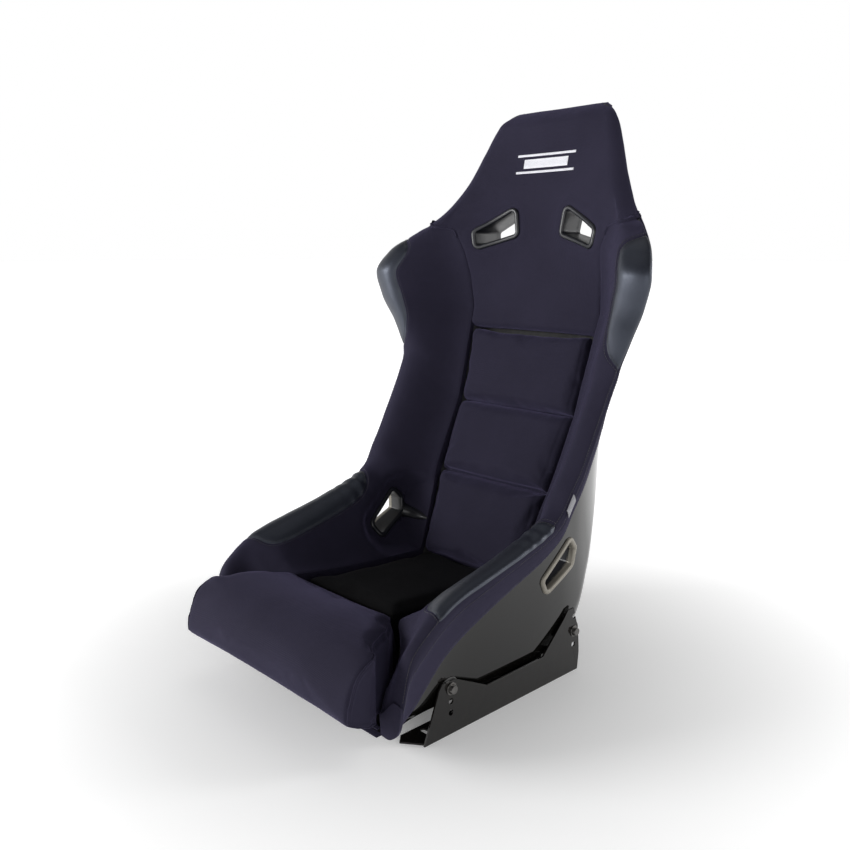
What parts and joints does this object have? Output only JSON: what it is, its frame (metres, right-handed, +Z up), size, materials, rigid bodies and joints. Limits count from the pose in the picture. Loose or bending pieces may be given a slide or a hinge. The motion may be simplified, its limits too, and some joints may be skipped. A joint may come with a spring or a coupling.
{
  "type": "racing seat",
  "caption": "Fixed-back bucket racing seat: gloss moulded shell, bolstered upholstery, harness slots, lift-off cushions and two side mounting brackets.",
  "frame": {"origin": "on the floor, at the centre of the floor bolt pattern of the two side brackets", "axes": "+Z up along the back, -Y the way the sitter faces, +X the left side of the sitter"},
  "size_m": [0.612, 0.6961, 0.9519],
  "materials": {
    "shell_gloss": "gloss black fibre-reinforced laminate",
    "bracket_paint": "gloss black painted steel",
    "fastener_steel": "dark zinc-plated steel",
    "bezel_satin": "satin silver plastic",
    "bezel_black": "black moulded plastic",
    "foam": "open-cell polyurethane foam",
    "hook_and_loop": "hook-and-loop tape",
    "leather": "fine-grain black leather",
    "seat_fabric": "dark knitted seat fabric",
    "base_fabric": "black anti-slip seat fabric",
    "emblem_thread": "white and blue embroidery thread",
    "tag_fabric": "woven blank tag"
  },
  "bodies": {
    "root": {"back_foam": "foam", "back_hook_strips": "hook_and_loop", "base_cushion": "base_fabric", "base_foam": "foam", "bracket_bolts": "fastener_steel", "bracket_washers": "fastener_steel", "edge_gusset_left": "seat_fabric", "edge_gusset_right": "seat_fabric", "front_end_cover_left": "seat_fabric", "front_end_cover_right": "seat_fabric", "front_foam": "foam", "front_lip_cover": "seat_fabric", "head_cover": "seat_fabric", "head_emblem": "emblem_thread", "head_foam": "foam", "head_top_cover": "seat_fabric", "lap_bezel_inner_left": "bezel_black", "lap_bezel_inner_right": "bezel_black", "lap_bezel_outer_left": "bezel_satin", "lap_bezel_outer_right": "bezel_satin", "lower_bolster_foam_left": "foam", "lower_bolster_foam_right": "foam", "mount_inserts": "fastener_steel", "shell": "shell_gloss", "shoulder_bezel_front_left": "bezel_black", "shoulder_bezel_front_right": "bezel_black", "shoulder_bezel_rear_left": "bezel_black", "shoulder_bezel_rear_right": "bezel_black", "shoulder_patch_left": "leather", "shoulder_patch_right": "leather", "side_bracket_left": "bracket_paint", "side_bracket_right": "bracket_paint", "side_cover_left": "seat_fabric", "side_cover_right": "seat_fabric", "side_tag": "tag_fabric", "thigh_hook_strips": "hook_and_loop", "thigh_patch_left": "leather", "thigh_patch_right": "leather", "upper_bolster_foam_left": "foam", "upper_bolster_foam_right": "foam"},
    "thigh_cushion": {"thigh_cushion": "seat_fabric", "thigh_loop_strips": "hook_and_loop"},
    "back_cushion_lower": {"back_cushion_lower": "seat_fabric", "back_cushion_lower_loop_strips": "hook_and_loop"},
    "back_cushion_middle": {"back_cushion_middle": "seat_fabric", "back_cushion_middle_loop_strips": "hook_and_loop"},
    "back_cushion_upper": {"back_cushion_upper": "seat_fabric", "back_cushion_upper_loop_strips": "hook_and_loop"}
  },
  "joints": [
    {"name": "thigh_cushion_lift", "type": "slide", "parent": "root", "child": "thigh_cushion", "axis": [0, 0, 1], "range_m": [0, 0.12]},
    {"name": "back_cushion_lower_pull", "type": "slide", "parent": "root", "child": "back_cushion_lower", "axis": [0, -0.933, 0.36], "range_m": [0, 0.08]},
    {"name": "back_cushion_middle_pull", "type": "slide", "parent": "root", "child": "back_cushion_middle", "axis": [0, -0.933, 0.36], "range_m": [0, 0.08]},
    {"name": "back_cushion_upper_pull", "type": "slide", "parent": "root", "child": "back_cushion_upper", "axis": [0, -0.933, 0.36], "range_m": [0, 0.08]}
  ]
}
